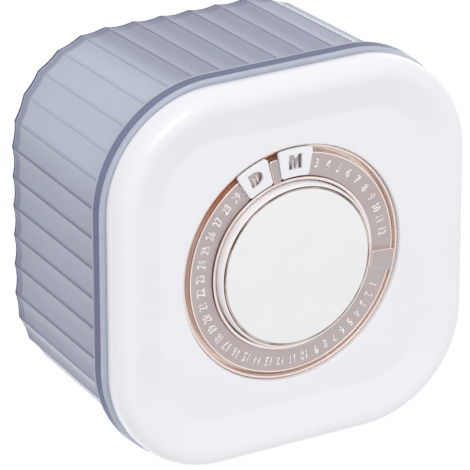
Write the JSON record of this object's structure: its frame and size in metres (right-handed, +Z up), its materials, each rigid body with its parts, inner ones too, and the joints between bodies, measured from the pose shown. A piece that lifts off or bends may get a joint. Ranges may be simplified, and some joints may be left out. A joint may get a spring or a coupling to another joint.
{
  "type": "milk powder canister",
  "caption": "Square clear fluted canister with a rounded white push-button lid and a date dial with day and month sliders.",
  "frame": {"origin": "centre of the base, on the surface it stands on", "axes": "+Z up through the lid, +X and +Y along the sides of the square; +Y is the side of the dial where the sliders park"},
  "size_m": [0.1356, 0.1356, 0.0829],
  "materials": {
    "smoky_clear": "polished smoky blue-grey clear plastic",
    "gloss_white": "glossy cool white",
    "satin_cream": "satin cream white",
    "rose_plated": "rose-gold plated plastic, satin",
    "bright_trim": "bright warm plated",
    "inner_plastic": "satin pale grey plastic",
    "clear_silicone": "milky silicone",
    "dark_acetal": "dark slide plastic",
    "steel": "zinc-plated steel"
  },
  "bodies": {
    "tub": {"tub": "smoky_clear"},
    "lid": {"lid_cover": "gloss_white", "dial_tray": "rose_plated", "lid_base": "inner_plastic", "sealing_gasket": "clear_silicone", "latch_sleeve": "inner_plastic", "return_spring": "steel", "sleeve_screw": "steel", "base_screw_1": "steel", "base_screw_2": "steel", "base_screw_3": "steel", "base_screw_4": "steel", "tray_screw_1": "steel", "tray_screw_2": "steel", "tray_screw_3": "steel", "tray_screw_4": "steel"},
    "button": {"button_shell": "gloss_white", "button_trim_ring": "bright_trim", "button_cap": "satin_cream", "plunger_stem": "dark_acetal", "wedge_plate": "inner_plastic", "plate_screw_1": "steel", "plate_screw_2": "steel", "plate_screw_3": "steel", "plate_screw_4": "steel"},
    "rotor": {"latch_rotor": "dark_acetal"},
    "day_slider": {"day_slider": "gloss_white"},
    "month_slider": {"month_slider": "gloss_white"}
  },
  "joints": [
    {"name": "lid_lift", "type": "slide", "parent": "tub", "child": "lid", "axis": [0, 0, 1], "range_m": [0, 0.12]},
    {"name": "button_pop", "type": "slide", "parent": "lid", "child": "button", "axis": [0, 0, 1], "range_m": [-0.0015, 0.0045], "deforming": ["return_spring"]},
    {"name": "rotor_turn", "type": "hinge", "parent": "button", "child": "rotor", "pos_m": [0, 0, 0.0687], "axis": [0, 0, 1], "range_deg": [-11.8, 34.3]},
    {"name": "day_turn", "type": "hinge", "parent": "lid", "child": "day_slider", "pos_m": [0, 0, 0.0796], "axis": [0, 0, 1], "range_deg": [0, 222]},
    {"name": "month_turn", "type": "hinge", "parent": "lid", "child": "month_slider", "pos_m": [0, 0, 0.0796], "axis": [0, 0, -1], "range_deg": [0, 83]}
  ],
  "couplings": [
    {"joint": "rotor_turn", "follows": "button_pop", "rad_per_m": 130.9}
  ]
}
